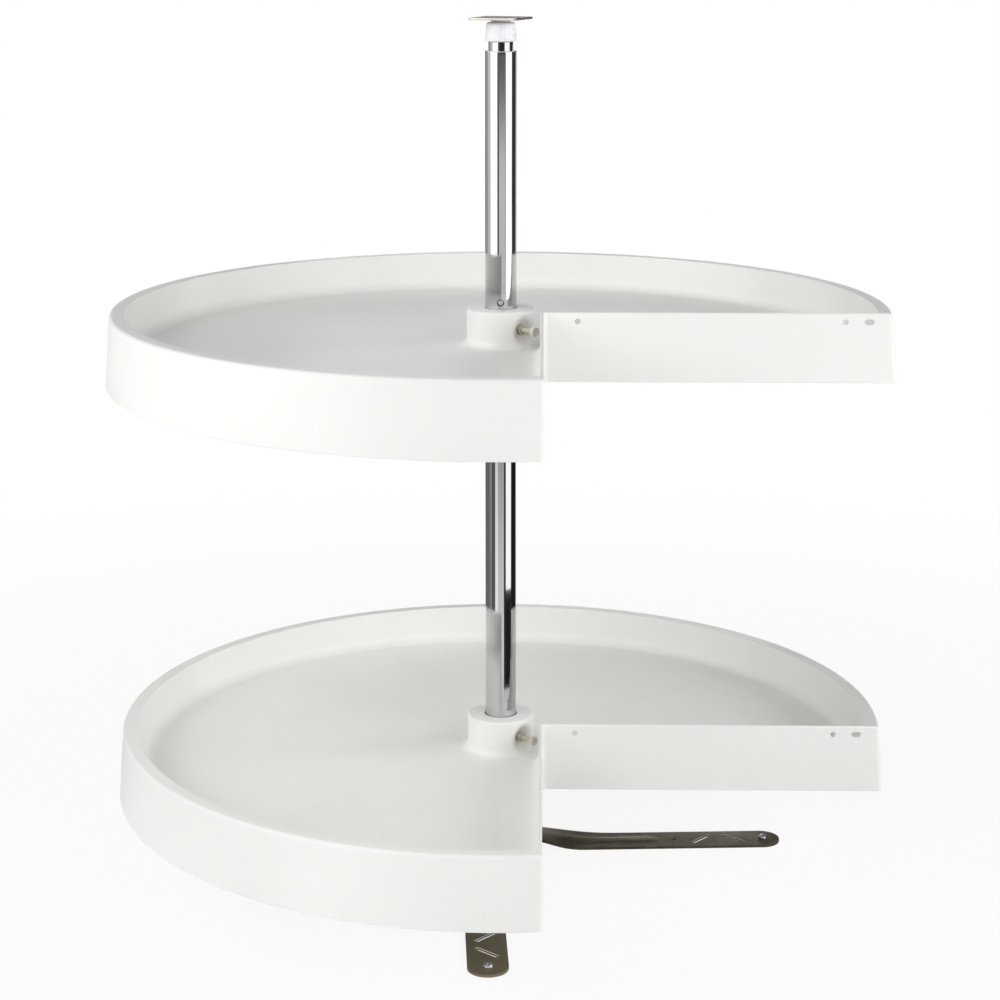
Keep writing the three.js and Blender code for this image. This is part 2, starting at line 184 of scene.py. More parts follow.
def drawWire(name, points, closed=True):
    # one vertex, extruded from point to point
    deselectAll()
    bpy.ops.mesh.primitive_plane_add(size=milli)
    wire = added(name)
    places = [Vector(point) * milli for point in points]
    with editing(wire, "SELECT"):
        bpy.ops.mesh.merge(type="CENTER")
        bpy.ops.transform.translate(value=places[0])
        for here, there in zip(places, places[1:]):
            bpy.ops.mesh.extrude_vertices_move(TRANSFORM_OT_translate={"value": there - here})
        if closed:
            bpy.ops.mesh.select_all(action="SELECT")
            body = bmesh.from_edit_mesh(wire.data)
            body.verts.ensure_lookup_table()
            ends = {body.verts[0], body.verts[-1]}
            for vertex in body.verts:
                vertex.select_set(vertex in ends)
            body.select_flush_mode()
            bpy.ops.mesh.edge_face_add()
    return wire


def spinPiece(name, corners, steps=96, angle=360, start=0):
    # a closed section, (radius, height), spun about Z
    section = roundedPath(corners)
    piece = drawWire(name, [(radius, 0, height) for radius, height in section])
    turnTo(piece, start)
    with editing(piece, "SELECT"):
        bpy.ops.mesh.spin(steps=steps, angle=-math.radians(angle), center=(0, 0, 0), axis=(0, 0, 1))
    count = len(section)
    for ring in (0, steps) if angle < 360 else ():
        fillRing(piece, lambda vertex: ring * count <= vertex.index < (ring + 1) * count)
    tidyMesh(piece)
    return piece


def extrudePiece(name, corners, bottom, top):
    # a closed outline, (x, y), raised from bottom to top
    piece = drawWire(name, [(x, y, bottom) for x, y in roundedPath(corners)])
    with editing(piece, "SELECT"):
        bpy.ops.mesh.edge_face_add()
        bpy.ops.mesh.extrude_region_move(TRANSFORM_OT_translate={"value": (0, 0, (top - bottom) * milli)})
    tidyMesh(piece)
    return piece


def rodPiece(name, radius, bottom, top, sides=32):
    return spinPiece(name, [(0, bottom), (radius, bottom), (radius, top), (0, top)], sides)


def heights(node):
    # of a CAD piece's foot and top
    return [corner.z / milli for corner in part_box(node)]


def turnedPiece(name, node, fromFoot, fromTop, steps=96):
    # (radius, height) corners from the CAD piece's foot and then from its top
    corners = [
        (radius, start + height, *edge)
        for start, part in zip(heights(node), (fromFoot, fromTop)) for radius, height, *edge in part
    ]
    return spinPiece(name, corners, steps)


def ringPiece(name, node, inner, outer, edge, steps):
    # a tube or a sleeve, as tall as the CAD piece
    ends = [(inner, 0, edge, 3), (outer, 0, edge, 3)]
    return turnedPiece(name, node, ends, ends[::-1], steps)


def layRadially(piece, azimuth, height):
    # what was made along Z points out from the post
    piece.rotation_euler = (0, math.radians(90), 0)
    applyPlace(piece)
    piece.rotation_euler = (0, 0, math.radians(azimuth))
    piece.location = (0, 0, height * milli)
    applyPlace(piece)


def finishPiece(piece, body, slot, *nodes, angle=34):
    applyPlace(piece)
    activate(piece)
    bpy.ops.object.shade_smooth_by_angle(angle=math.radians(angle))
    addModifier(piece, "WEIGHTED_NORMAL", keep_sharp=True, weight=80)
    piece.data.materials.clear()
    piece.data.materials.append(looks[slot])
    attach(piece, body)
    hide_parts(*nodes)
    print("piece", piece.name, len(piece.data.polygons), "faces")


# Shader maths

class Value:
    # an output socket that takes Python's own operators
    def __init__(self, finish, socket):
        self.finish = finish
        self.socket = socket

    def maths(self, operation, *others):
        return self.finish.node("Math", {"operation": operation}, dict(enumerate((self, *others))))

    __add__ = __radd__ = lambda self, other: self.maths("ADD", other)
    __mul__ = __rmul__ = lambda self, other: self.maths("MULTIPLY", other)
    __sub__ = lambda self, other: self.maths("SUBTRACT", other)
    __pow__ = lambda self, other: self.maths("POWER", other)
    __abs__ = lambda self: self.maths("ABSOLUTE")

    def __rsub__(self, other):
        return self.finish.node("Math", {"operation": "SUBTRACT"}, {0: other, 1: self})

    def above(self, edge):
        return self.maths("GREATER_THAN", edge)

    def least(self, other):
        return self.maths("MINIMUM", other)

    def ramp(self, low, high):
        values = {"Value": self, "From Min": low, "From Max": high}
        return self.finish.node("MapRange", {"interpolation_type": "SMOOTHSTEP"}, values)


class Finish:
    # one material, or the world, built a node at a time
    def __init__(self, name, kind="materials"):
        self.owner = getattr(bpy.data, kind).new(name)
        self.owner.use_nodes = True
        self.tree = self.owner.node_tree
        self.tree.nodes.clear()
        if kind == "materials":
            self.place = self.node("TexCoord", output="Object")

    def node(self, kind, settings=None, inputs=None, output=0):
        made = self.tree.nodes.new("ShaderNode" + kind)
        for name, value in (settings or {}).items():
            setattr(made, name, value)
        for name, value in (inputs or {}).items():
            if isinstance(value, Value):
                self.tree.links.new(value.socket, made.inputs[name])
            else:
                made.inputs[name].default_value = value
        return Value(self, made.outputs[output])

    def axes(self, vector=None):
        parts = {0: vector or self.place}
        return [self.node("SeparateXYZ", inputs=parts, output=axis) for axis in "XYZ"]

    def upward(self):
        # how far the surface faces up
        return self.axes(self.node("NewGeometry", output="Normal"))[2]

    def scaled(self, scale, turn=0):
        values = {"Vector": self.place, "Scale": scale, "Rotation": (0, 0, math.radians(turn))}
        return self.node("Mapping", inputs=values)

    def noise(self, scale, detail=3, vector=None, roughness=0.5):
        values = {"Vector": vector or self.place, "Scale": scale, "Detail": detail, "Roughness": roughness}
        return self.node("TexNoise", inputs=values)

    def mixColour(self, share, first, second):
        return self.node("Mix", {"data_type": "RGBA"}, {0: share, 6: first, 7: second}, output=2)

    def surface(self, base, rough, height, strength, metallic=0.0, ior=1.5):
        # height is the bump's, in metres
        normal = self.node("Bump", inputs={"Height": height, "Distance": 1.0, "Strength": strength})
        values = {"Base Color": base, "Roughness": rough, "Normal": normal, "Metallic": metallic, "IOR": ior}
        return self.output(self.node("BsdfPrincipled", inputs=values))

    def output(self, shader, kind="Material"):
        end = self.tree.nodes.new("ShaderNodeOutput" + kind)
        self.tree.links.new(shader.socket, end.inputs["Surface"])
        return self.owner


def colour(red, green, blue):
    return (red, green, blue, 1.0)


# Materials

trayLook = dict(
    light=colour(0.89, 0.888, 0.868), dark=colour(0.86, 0.858, 0.838),
    # the sink and pocket colours below are painted shade, over the ribs' sink marks and in the screw pockets
    sinkShadeColour=colour(0.80, 0.798, 0.78), pocketShadeColour=colour(0.62, 0.605, 0.545),
    floorInside=(0.07, 0.16),  # a pair says where a patch begins to change and where it is done
    floorOutside=(0.315, 0.325),
    pocketHeights=(0.121, 0.5005),  # of the screws' axes in the two hubs
    pocketRadii=(0.005, 0.0145), pocketInside=(0.02, 0.023), pocketOutside=(0.035, 0.042),
    pocketShadeShare=0.85,
    ribPitch=22.5,  # degrees between the ribs beneath the floor
    ribHalfWidth=0.0042, sinkShadeShare=0.22, sinkDepth=0.00006, grainDepth=0.00002,
    mottleDepth=0.00001, roughness=0.42, ior=1.49,
)


def trayPlastic():
    look = trayLook
    finish = Finish("trayPlastic")
    x, y, z = finish.axes()
    facingUp = finish.upward().ramp(0.9, 0.99)
    radius = (x * x + y * y) ** 0.5
    azimuth = y.maths("ARCTAN2", x) * (180 / math.pi / look["ribPitch"])
    offRib = abs(azimuth - azimuth.maths("ROUND")) * radius * math.radians(look["ribPitch"])
    onFloor = facingUp * radius.ramp(*look["floorInside"]) * (1 - radius.ramp(*look["floorOutside"]))
    sink = (1 - offRib.ramp(0, look["ribHalfWidth"])) * onFloor
    cloud = finish.noise(5, 2)
    mottle = finish.noise(60, 4)
    grain = finish.noise(2600, 2)
    base = finish.mixColour(cloud.ramp(0.3, 0.7), look["light"], look["dark"])
    # painted shade: faint darker lines over the ribs' sink marks; the dents themselves are in the bump below
    base = finish.mixColour(sink * look["sinkShadeShare"], base, look["sinkShadeColour"])
    # painted shade: the pocket round each hub's screw is coloured a darker tan-grey, for the shade in that
    # hollow
    outwards, sideways = (x - y) * math.sqrt(0.5), (x + y) * math.sqrt(0.5)
    rise = abs(z - look["pocketHeights"][0]).least(abs(z - look["pocketHeights"][1]))
    away = (sideways * sideways + rise * rise) ** 0.5
    pocketShade = 1 - away.ramp(*look["pocketRadii"])
    pocketShade = pocketShade * outwards.ramp(*look["pocketInside"]) * (1 - outwards.ramp(*look["pocketOutside"]))
    base = finish.mixColour(pocketShade * look["pocketShadeShare"], base, look["pocketShadeColour"])
    rough = look["roughness"] + (mottle - 0.5) * 0.1 + (grain - 0.5) * 0.05
    height = grain * look["grainDepth"] + mottle * look["mottleDepth"] - sink * look["sinkDepth"]
    return finish.surface(base, rough, height, strength=0.6, ior=look["ior"])


plasticLook = dict(cloudSize=40, grainSize=900, grainDepth=0.00001, ior=1.48)


def mouldedPlastic(name, light, dark, roughness):
    look = plasticLook
    finish = Finish(name)
    cloud = finish.noise(look["cloudSize"], 3)
    grain = finish.noise(look["grainSize"], 2)
    base = finish.mixColour(cloud.ramp(0.3, 0.7), light, dark)
    rough = roughness + (cloud - 0.5) * 0.12
    return finish.surface(base, rough, grain * look["grainDepth"], strength=0.3, ior=look["ior"])


chromeLook = dict(
    light=colour(0.635, 0.64, 0.65), dark=colour(0.60, 0.605, 0.615), roughness=0.03,
    polishLines=(900, 900, 6),  # long along the post
    polishDepth=0.000002, hazeSize=14,
)


def chromePlate():
    look = chromeLook
    finish = Finish("chromePlate")
    polish = finish.noise(1, 4, finish.scaled(look["polishLines"]))
    haze = finish.noise(look["hazeSize"], 3)
    base = finish.mixColour(haze.ramp(0.35, 0.7), look["light"], look["dark"])
    rough = look["roughness"] + haze.ramp(0.45, 0.8) * 0.035 + polish.ramp(0.55, 0.8) * 0.03
    return finish.surface(base, rough, polish * look["polishDepth"], strength=0.4, metallic=1.0)


brushLook = dict(
    lines=(14, 1400, 300),  # noise scales along, across and through the strip
    patinaSize=55, lineDepth=0.000008,
    # radii over which the painted light on the front leg fades in
    frontLegLightSpan=(0.1, 0.2),  # where the front leg turns paler
)
slotWalls = dict(
    setBack=0.02,  # of the legs' middle lines from the axis
    halfWidth=0.0155,  # from the middle line, short of the strip's own edges
    # the last two give the heights where the band of painted shade on the slots' walls begins and ends
    near=0.17, far=0.243, shadeBandFoot=(0.0003, 0.0006), shadeBandTop=(0.0013, 0.0017),
)


def brushedPlate(name, light, dark, roughness, turn=0, slotWallHighlight=None, frontLegPaintedLight=None):
    # brushed along +X on one leg and along -Y on the other; the slot-wall colour is a painted
    # highlight on the slots' walls, and the front-leg colour is painted light on the leg along -Y
    look = brushLook
    finish = Finish(name)
    x, y, z = finish.axes()
    along, across, through = look["lines"]
    alongX = finish.noise(1, 5, finish.scaled((along, across, through), -turn), 0.7)
    alongY = finish.noise(1, 5, finish.scaled((across, along, through), -turn), 0.7)
    side = (x + y).above(0)
    radius = (x * x + y * y) ** 0.5
    lines = alongX * side + alongY * (1 - side)
    patina = finish.noise(look["patinaSize"], 5, roughness=0.6)
    base = finish.mixColour(patina.ramp(0.35, 0.7), light, dark)
    base = finish.mixColour(lines.ramp(0.4, 0.75) * 0.35, base, dark)
    if frontLegPaintedLight:
        # painted light: the front leg is coloured paler away from the pad, though it lies in the tray's
        # shade
        base = finish.mixColour((1 - side) * radius.ramp(*look["frontLegLightSpan"]), base, frontLegPaintedLight)
    if slotWallHighlight:
        walls = slotWalls
        turnedX, turnedY = finish.axes(finish.scaled((1, 1, 1), -turn))[:2]
        offMiddle = turnedY * side - turnedX * (1 - side) - walls["setBack"]
        upright = 1 - abs(finish.upward()).ramp(0.5, 0.95)
        slot = upright * (1 - abs(offMiddle).above(walls["halfWidth"]))
        slot = slot * radius.above(walls["near"]) * (1 - radius.above(walls["far"]))
        # painted light: the slots' walls get a bright painted highlight, with a band of painted shade
        # partway up
        slotShadeBand = z.ramp(*walls["shadeBandFoot"]) * (1 - z.ramp(*walls["shadeBandTop"]))
        base = finish.mixColour(slot, base, finish.mixColour(slotShadeBand, slotWallHighlight, dark))
    rough = roughness + (lines - 0.5) * 0.18 + patina.ramp(0.5, 0.75) * 0.08
    return finish.surface(base, rough, lines * look["lineDepth"], strength=0.7, metallic=1.0)


latheLook = dict(
    rings=(60, 60, 5200), ringDepth=0.000006, tarnishSize=260,
    underHead=(0.0402, 0.0408),  # from the post's axis to the tray screws' heads
)


def turnedSteel(name, light, dark, roughness, shankAndNutShade=None):
    # fine rings from the lathe, with a little tarnish; the optional last colour is painted shade on
    # what lies nearer to the post than the tray screws' heads, which is the shank and the nut
    look = latheLook
    finish = Finish(name)
    tarnish = finish.noise(look["tarnishSize"], 4)
    rings = finish.noise(1, 3, finish.scaled(look["rings"]))
    base = finish.mixColour(tarnish.ramp(0.4, 0.75), light, dark)
    rough = roughness + (rings - 0.5) * 0.12 + tarnish.ramp(0.5, 0.8) * 0.1
    if shankAndNutShade:
        x, y, z = finish.axes()
        inner = 1 - ((x * x + y * y) ** 0.5).ramp(*look["underHead"])
        # painted shade on the shank and nut, which lie nearer to the post than the heads
        base = finish.mixColour(inner, base, shankAndNutShade)
        rough = rough + 0.25 * inner
    return finish.surface(base, rough, rings * look["ringDepth"], strength=0.5, metallic=1.0)


looks = {  # by slot
    "tray_plastic": trayPlastic(),
    "bush_plastic": mouldedPlastic(
        "bushPlastic", colour(0.87, 0.875, 0.895), colour(0.83, 0.84, 0.86), 0.36,
    ),
    "bearing_plastic": mouldedPlastic(
        "bearingPlastic", colour(0.78, 0.78, 0.75), colour(0.72, 0.72, 0.69), 0.4,
    ),
    "washer_plastic": mouldedPlastic(
        "washerPlastic", colour(0.84, 0.84, 0.81), colour(0.78, 0.78, 0.75), 0.45,
    ),
    "tube_chrome": chromePlate(),
    "bracket_nickel": brushedPlate(
        "bracketNickel", colour(0.145, 0.122, 0.076), colour(0.097, 0.082, 0.05), 0.34, 3.2,
        # painted highlight on the slots' walls, and painted light on the front leg
        slotWallHighlight=colour(0.95, 0.9, 0.82), frontLegPaintedLight=colour(0.3, 0.257, 0.168),
    ),
    "plate_nickel": brushedPlate(
        "plateNickel", colour(0.56, 0.53, 0.49), colour(0.44, 0.41, 0.37), 0.26, -19.6,
    ),
    "screw_steel": turnedSteel("brightZinc", colour(0.74, 0.76, 0.79), colour(0.52, 0.54, 0.57), 0.1),
    "tray_screw_steel": turnedSteel(
        # the last colour is painted shade on the shank and nut
        "greyZinc", colour(0.72, 0.7, 0.63), colour(0.6, 0.58, 0.52), 0.5, shankAndNutShade=colour(0.6, 0.58, 0.51),
    ),
    "lock_screw_steel": turnedSteel("lockSteel", colour(0.85, 0.85, 0.86), colour(0.7, 0.7, 0.7), 0.22),
    "spindle_steel": turnedSteel("spindleSteel", colour(0.62, 0.62, 0.62), colour(0.5, 0.49, 0.48), 0.24),
}
print("materials made:", len(looks))


# Trays. Radii are from the post's axis and heights from the rim's top.

tray = dict(
    rimRadius=345.3, footRadius=350, height=62.4, wall=3, rimWidth=13, rimRound=3.5,
    floorDepth=35, wallLean=5, floorFillet=11, notchOffset=38.5, notchFillet=8,
    innerRound=0.7, notchInnerRound=1.2, notchOuterRound=1.7, edgeRound=0.8, tipRound=3,
    notchRound=4, notchRoundLimit=14, arcSteps=150, wallSteps=28, cornerSteps=7,
    flatRadius=300,  # the floor is flat inside this radius
    flatOffset=12, underPitch=1.4,
)


def traySection():
    # as many points on the round side as along the notch walls: (radius, height) and
    # (offset of the wall, height), and the rounding of the tips in plan
    t = tray
    wall, foot, floor = t["wall"], -t["height"], -t["floorDepth"]
    rimInside = t["rimRadius"] - t["rimWidth"]
    floorEdge = rimInside - t["wallLean"]
    inner = t["notchOffset"] - wall
    under = floor - wall
    edge = (t["edgeRound"], 2)
    roundSide = [
        (t["flatRadius"], floor),
        (floorEdge, floor, t["floorFillet"], 8),
        (rimInside, 0, t["innerRound"], 3),
        (t["rimRadius"], 0, t["rimRound"], 7),
        (t["footRadius"], foot, *edge),
        (t["footRadius"] - wall, foot, *edge),
        (t["rimRadius"] - wall, -wall, *edge),
        (rimInside + wall, -wall, *edge),
        (floorEdge + wall, under, t["floorFillet"] + wall, 8),
        (t["flatRadius"], under),
    ]
    notchSide = [
        (t["flatOffset"], floor),
        (inner, floor, t["notchFillet"], 8),
        (inner, 0, t["notchInnerRound"], 3),
        (t["notchOffset"], 0, t["notchOuterRound"], 7),
        (t["notchOffset"], foot, *edge),
        (inner, foot, *edge),
    ]
    tips = [14, 12, 2, t["tipRound"], t["tipRound"], 2, 2, 2, 10, 14]
    rounds = [1 + (corner[3] if len(corner) > 2 else 0) for corner in roundSide]
    roundPoints = roundedPath(roundSide, closed=False)
    notchPoints = roundedPath(notchSide + [(inner, under)], closed=False)[:-1]
    notchPoints += [Vector((inner, under))] * (rounds[6] + rounds[7])
    notchPoints += [Vector((inner - t["underPitch"] * k, under)) for k in range(rounds[8])]
    notchPoints.append(Vector((t["flatOffset"], under)))
    tipSizes = [size for size, count in zip(tips, rounds) for _ in range(count)]
    return list(zip(roundPoints, notchPoints, tipSizes))


quarterHandle = 0.5523  # of a cubic curve that follows a quarter circle


def cornerCurve(corner, before, after, size, steps):
    # a rounded corner between two directions that lead away from it
    reach = size * (1 - quarterHandle)
    knots = [corner + before * size, corner + before * reach, corner + after * reach, corner + after * size]
    points = []
    for k in range(1, steps):
        s = k / steps
        shares = [(1 - s) ** 3, 3 * s * (1 - s) ** 2, 3 * s * s * (1 - s), s ** 3]
        points.append(sum((knot * share for knot, share in zip(knots, shares)), Vector((0, 0))))
    return points


def trayLoop(radius, roundHeight, offset, notchHeight, tipSize):
    # plan of the tray at one point of its section, anticlockwise from the tip at +X
    t = tray
    steps = t["cornerSteps"]
    notchSize = min(t["notchRound"] + t["notchOffset"] - offset, t["notchRoundLimit"])
    tipAngle = math.asin(offset / radius)
    turn = tipSize / radius
    arcFrom, arcTo = -tipAngle + turn, 1.5 * math.pi + tipAngle - turn
    onArc = lambda angle: Vector((math.cos(angle), math.sin(angle))) * radius
    tipX = Vector((math.sqrt(radius ** 2 - offset ** 2), -offset))
    tipY = Vector((offset, -tipX.x))
    inside = Vector((offset, -offset))
    level = lambda points, height: [(p.x, p.y, height) for p in points]
    sloping = lambda points, start, end: [
        (p.x, p.y, start + (end - start) * (k + 1) / (len(points) + 1)) for k, p in enumerate(points)
    ]
    straight = lambda start, end: [start.lerp(end, k / t["wallSteps"]) for k in range(t["wallSteps"] + 1)]
    back = lambda end, corner: (end - corner).normalized()
    arc = [onArc(arcFrom + (arcTo - arcFrom) * k / t["arcSteps"]) for k in range(t["arcSteps"] + 1)]
    xAxis, yAxis = Vector((1, 0)), Vector((0, 1))
    loop = level(arc, roundHeight)
    loop += sloping(cornerCurve(tipY, back(arc[-1], tipY), yAxis, tipSize, steps), roundHeight, notchHeight)
    loop += level(straight(tipY + yAxis * tipSize, inside - yAxis * notchSize), notchHeight)
    loop += level(cornerCurve(inside, -yAxis, xAxis, notchSize, steps), notchHeight)
    loop += level(straight(inside + xAxis * notchSize, tipX - xAxis * tipSize), notchHeight)
    loop += sloping(cornerCurve(tipX, -xAxis, back(arc[0], tipX), tipSize, steps), notchHeight, roundHeight)
    return [Vector(point) * milli for point in loop]


def rounded(place, digits):
    return tuple(round(value, digits) for value in place)


def skinLoops(name, loops):
    # a ring of vertices, extruded from loop to loop, and closed at both ends
    deselectAll()
    bpy.ops.mesh.primitive_circle_add(vertices=len(loops[0]), radius=1)
    piece = added(name)
    for vertex, place in zip(piece.data.vertices, loops[0]):
        vertex.co = place
    with editing(piece, "SELECT"):
        for last, loop in zip(loops, loops[1:]):
            bpy.ops.mesh.extrude_edges_move()
            body = bmesh.from_edit_mesh(piece.data)
            moves = {rounded(place, 7): target for place, target in zip(last, loop)}
            for vertex in body.verts:
                if vertex.select:
                    vertex.co = moves[rounded(vertex.co, 7)]
            bmesh.update_edit_mesh(piece.data)
    for loop in (loops[0], loops[-1]):
        wanted = {rounded(place, 6) for place in loop}
        fillRing(piece, lambda vertex: rounded(vertex.co, 6) in wanted)
    tidyMesh(piece)
    return piece


hub = dict(
    radius=30.5, topDepth=2, topRound=2.5, flare=8.5, wall=3.5, bore=14.7, boreChamfer=0.5,
    footDepth=55, footRound=0.8,
    flareSunk=1.5,  # below the floor's top
    flareLift=0.03,
    hollowStart=50,  # degrees from the notch
    hollowTurn=260, hollowFoot=60, hollowRound=2, scoopRadius=14, scoopReach=38,
    scoopSoftness=3.5, screwDepth=19, rowHeight=1.25, steps=192,
)
ribs = dict(count=11, pitch=22.5, thickness=2.5, depth=14, start=18, clearance=2.4, edge=0.7)
passage = dict(radius=2.8, start=2, seat=23.5, seatRadius=4.9, end=40)  # for the screw and its nut
doorHoles = dict(
    radius=2.5, depth=8, inner=68, outer=302.3, slot=323.2, slotLength=8.7,
    arcShare=0.999,  # of a half circle's radius, so that no edge is without length
    reach=(-8, 3),  # of the cutters, from the notch wall's face
)
notchAzimuth = -45


def scooped(place):
    # the hub's side, drawn in where a soft-edged bowl meets it
    h = hub
    turn = math.radians(notchAzimuth)
    outwards = Vector((math.cos(turn), math.sin(turn), 0))
    along = place.dot(outwards)
    sideways = place - outwards * along
    distance = math.hypot(sideways.x, sideways.y, sideways.z + h["screwDepth"])
    if along < h["wall"] or distance > h["scoopRadius"]:
        return place
    bowl = h["scoopReach"] - math.sqrt(h["scoopRadius"] ** 2 - distance ** 2)
    soft = h["scoopSoftness"]
    share = min(max(0.5 + 0.5 * (bowl - along) / soft, 0), 1)
    return sideways + outwards * (bowl * (1 - share) + along * share - soft * share * (1 - share))


def hubBody():
    h = hub
    sleeve = h["bore"] + h["wall"]
    floor = -tray["floorDepth"]
    highest, lowest = -h["topDepth"] - h["topRound"] - 1, floor + h["flare"] + 0.5
    count = round((highest - lowest) / h["rowHeight"])
    rows = [(h["radius"], lowest + (highest - lowest) * k / count) for k in range(count + 1)]
    foot, sunk, lifted = -h["footDepth"], floor - h["flareSunk"], floor + h["flareLift"]
    flareEdge = h["radius"] + h["flare"] - h["footRound"]
    body = spinPiece("hub", [
        (0, foot),
        (sleeve, foot, h["footRound"], 2),
        (sleeve, sunk),
        (flareEdge, sunk),
        (flareEdge, lifted),
        (h["radius"], lifted, h["flare"] - 1, 9),
        *rows,
        (h["radius"], -h["topDepth"], h["topRound"], 6),
        (0, -h["topDepth"]),
    ], h["steps"])
    for vertex in body.data.vertices:
        if math.hypot(vertex.co.x, vertex.co.y) > (h["radius"] - 1) * milli:
            vertex.co = scooped(vertex.co / milli) * milli
    return body


def hubHollow():
    h = hub
    sleeve, outer = h["bore"] + h["wall"], h["radius"] - h["wall"]
    top, foot, edge = -h["topDepth"] - h["wall"], -h["hollowFoot"], (h["hollowRound"], 3)
    return spinPiece("hollow", [
        (sleeve, foot), (outer, foot), (outer, top, *edge), (sleeve, top, *edge),
    ], 72, h["hollowTurn"], notchAzimuth + h["hollowStart"])


def hubBore():
    bore, chamfer, top, foot = hub["bore"], hub["boreChamfer"], -hub["topDepth"], -hub["footDepth"]
    return spinPiece("bore", [
        (0, foot - 3), (bore + chamfer + 3, foot - 3), (bore, foot + chamfer),
        (bore, top - chamfer), (bore + chamfer + 1, top + 1), (0, top + 1),
    ], hub["steps"])


def screwPassage():
    p = passage
    cutter = spinPiece("passage", [
        (0, p["start"]), (p["radius"], p["start"]), (p["radius"], p["seat"]),
        (p["seatRadius"], p["seat"]), (p["seatRadius"], p["end"]), (0, p["end"]),
    ], 48)
    layRadially(cutter, notchAzimuth, -hub["screwDepth"])
    return cutter


def floorRibs():
    r = ribs
    top = -tray["floorDepth"] - tray["wall"] / 2
    bottom = -tray["floorDepth"] - tray["wall"] - r["depth"]
    half, start, end = r["thickness"] / 2, r["start"], tray["footRadius"] - r["clearance"]
    rib = extrudePiece("rib", [(start, -half), (end, -half), (end, half), (start, half)], bottom, top)
    lowLimit, longEdge = (bottom + 1) * milli, 0.1
    with editing(rib):
        pick(rib, lambda edge: (
            all(vertex.co.z < lowLimit for vertex in edge.verts) and edge.calc_length() > longEdge
        ), "edges")
        bpy.ops.mesh.bevel(offset=r["edge"] * milli, segments=3, affect="EDGES")
    copies = [rib] + [copyOf(rib, "rib") for _ in range(r["count"] - 1)]
    for k, copy in enumerate(copies):
        turnTo(copy, r["pitch"] * (k + 1))
    return copies


def doorHoleCutters():
    # along the wall at +X, then the same for the wall at -Y
    d = doorHoles
    back, front = (tray["notchOffset"] + reach for reach in d["reach"])
    across = d["radius"]
    end = d["slotLength"] / 2
    slot = [(x * end, y * across, across * d["arcShare"], 10) for x, y in square]
    made = [rodPiece("hole", across, back, front) for _ in range(2)]
    made.append(extrudePiece("hole", slot, back, front))
    for cutter, place in zip(made, (d["inner"], d["outer"], d["slot"])):
        cutter.location = (place * milli, 0, -d["depth"] * milli)
        cutter.rotation_euler = (math.radians(90), 0, 0)
        applyPlace(cutter)
    return made + [otherSide(cutter, "hole") for cutter in made]


def trayBody():
    piece = skinLoops("lowerTray", [trayLoop(*outer, *notch, tip) for outer, notch, tip in traySection()])
    print("tray skin", len(piece.data.polygons), "faces")
    combine(piece, hubBody(), "UNION")
    for rib in floorRibs():
        combine(piece, rib, "UNION")
    for cutter in [hubHollow(), hubBore(), screwPassage()] + doorHoleCutters():
        cut(piece, cutter)
    tidyMesh(piece)
    return piece


rimHeights = {level: heights(level + "_tray")[1] for level in ("lower", "upper")}
lowerTray = trayBody()
upperTray = copyOf(lowerTray, "upperTray")
for level, piece in (("lower", lowerTray), ("upper", upperTray)):
    moveTo(piece, 0, 0, rimHeights[level])
    finishPiece(piece, "carousel", "tray_plastic", level + "_tray")
print("trays done")


# Tray screws and nuts

trayScrew = dict(
    hexRadius=4.6,
    flatShare=0.86,  # of the corners' radius, where their turned end begins
    headReach=41,  # from the post's axis
    headHeight=3.5, shank=2.5, tip=12.9, tipRadius=1.5, threadEnd=36, threadDepth=0.22, pitch=0.8,
    nutReach=24.3, nutThickness=4, nutGap=0.2,
)


def hexBody(name, bottom, top, bore=0):
    # its corners are turned down at both ends
    corner = trayScrew["hexRadius"]
    flat = corner * trayScrew["flatShare"]
    piece = extrudePiece(name, hexagonCorners(corner), bottom, top)
    turned = spinPiece("turned", [
        (0, bottom), (flat, bottom), (corner + 0.02, bottom + 0.5),
        (corner + 0.02, top - 0.5), (flat, top), (0, top),
    ], 64)
    combine(piece, turned, "INTERSECT")
    if bore:
        cutter = spinPiece("cutter", [
            (0, bottom - 1), (bore + 1.4, bottom - 1), (bore, bottom + 0.4), (bore, top - 0.4),
            (bore + 1.4, top + 1), (0, top + 1),
        ], 64)
        cut(piece, cutter)
    return piece


def threadedSection(radius, start, end, pitch, depth):
    # crests and roots of a thread, from start to end
    points = []
    root = radius - depth
    steps = int((end - start) / pitch)
    for k in range(steps):
        low = start + k * pitch
        points += [(root, low + 0.1 * pitch), (radius, low + 0.45 * pitch), (radius, low + 0.6 * pitch)]
    return points + [(root, start + steps * pitch)]


def trayScrewBody(name):
    s = trayScrew
    tip, neck, reach, shank = s["tip"], s["threadEnd"], s["headReach"], s["shank"]
    section = [(0, tip), (s["tipRadius"], tip)]
    section += threadedSection(shank, tip + 0.9, neck, s["pitch"], s["threadDepth"])
    section += [(shank, neck + 0.6), (shank, reach + 0.4), (0, reach + 0.4)]
    screw = spinPiece(name, section, 40)
    head = hexBody("head", reach, reach + s["headHeight"])
    combine(screw, head, "UNION")
    return screw


for level in ("lower", "upper"):
    height = rimHeights[level] - hub["screwDepth"]
    screw = trayScrewBody(level + "TrayScrew")
    layRadially(screw, notchAzimuth, height)
    finishPiece(screw, "carousel", "tray_screw_steel", level + "_tray_screw")
    reach, bore = trayScrew["nutReach"], trayScrew["shank"] + trayScrew["nutGap"]
    nut = hexBody(level + "TrayNut", reach, reach + trayScrew["nutThickness"], bore)
    layRadially(nut, notchAzimuth, height)
    finishPiece(nut, "carousel", "tray_screw_steel", level + "_tray_nut")
print("tray screws done")


# Post

